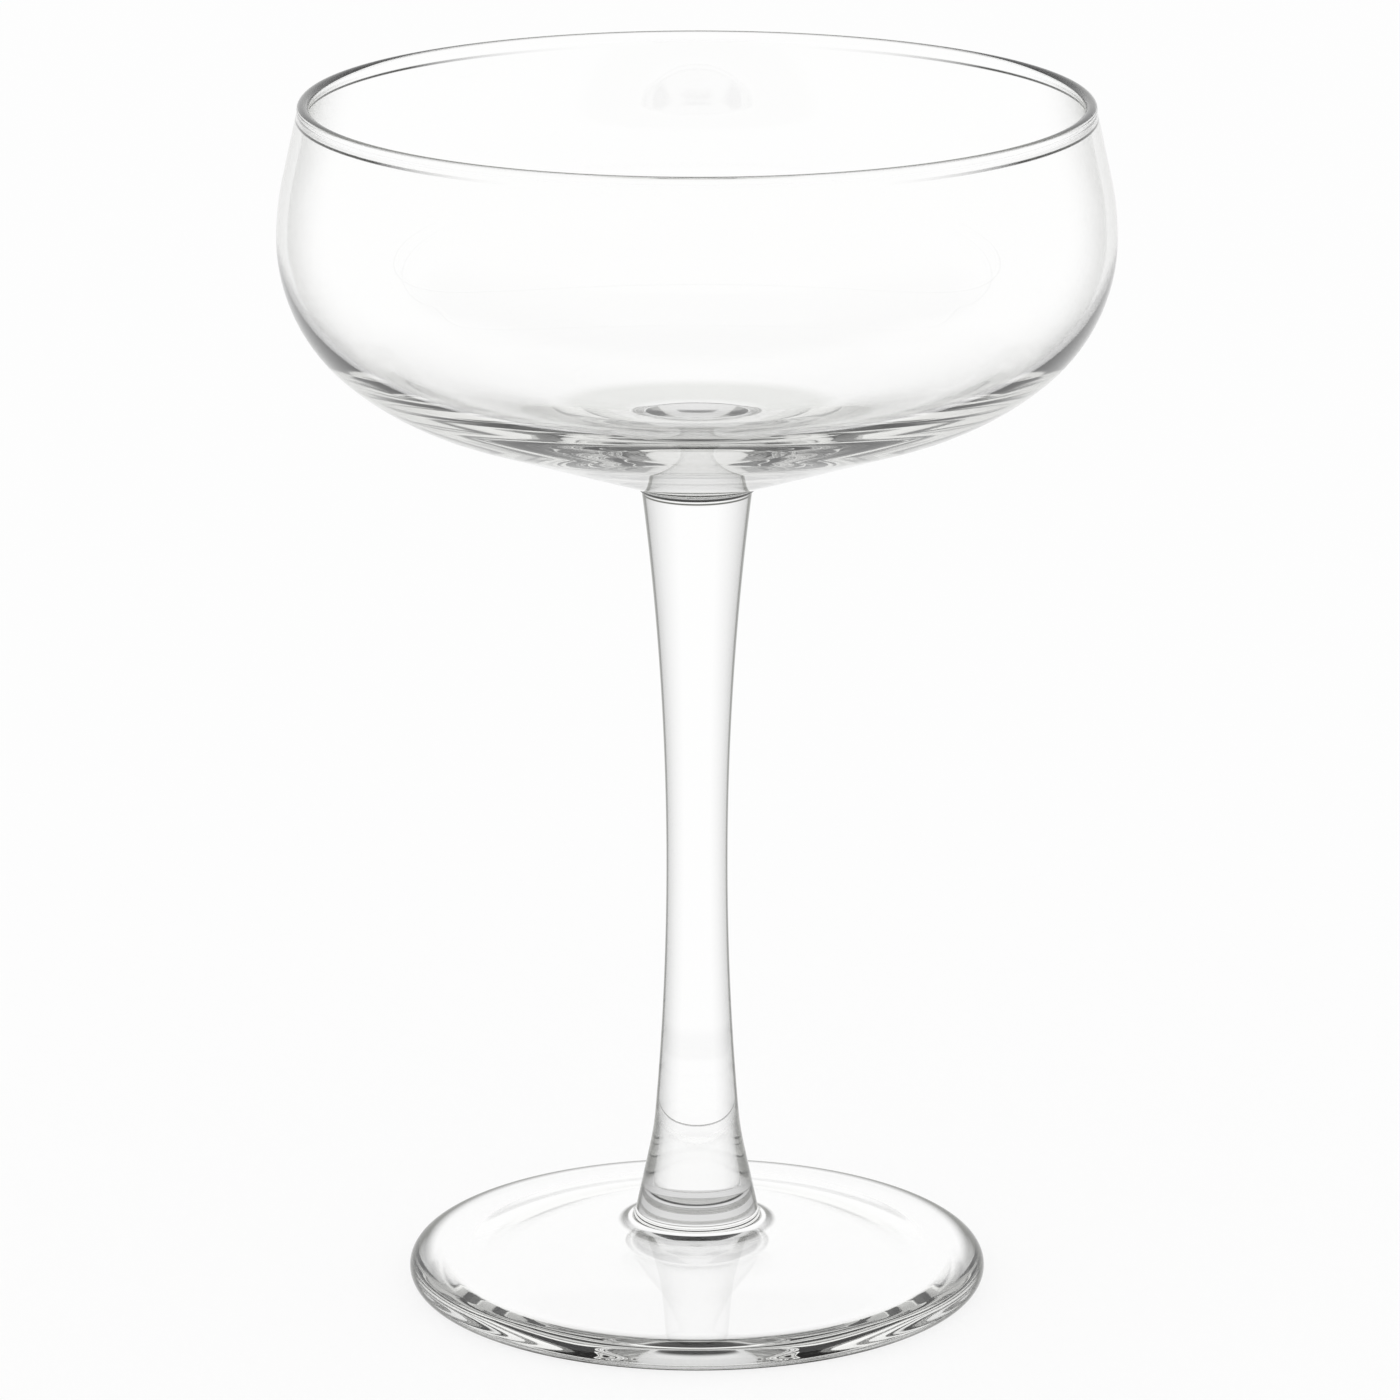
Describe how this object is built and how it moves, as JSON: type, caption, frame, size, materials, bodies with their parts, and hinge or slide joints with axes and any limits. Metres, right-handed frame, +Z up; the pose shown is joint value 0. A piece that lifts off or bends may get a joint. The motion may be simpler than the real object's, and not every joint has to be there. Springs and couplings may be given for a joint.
{
  "type": "coupe glass",
  "caption": "Stemmed coupe glass with a wide shallow bowl, a slender waisted stem and a round rimmed foot, in clear glass.",
  "frame": {"origin": "on the axis of the glass, in the plane of the ring it stands on", "axes": "+Z up along the axis of the glass, from the foot to the rim; +X and +Y lie in the table's plane, and the glass is round, so their turn is free"},
  "size_m": [0.1086, 0.1086, 0.16],
  "materials": {
    "clear_glass": "fire-polished"
  },
  "bodies": {
    "root": {"bowl": "clear_glass", "stem": "clear_glass", "foot": "clear_glass"}
  },
  "joints": []
}
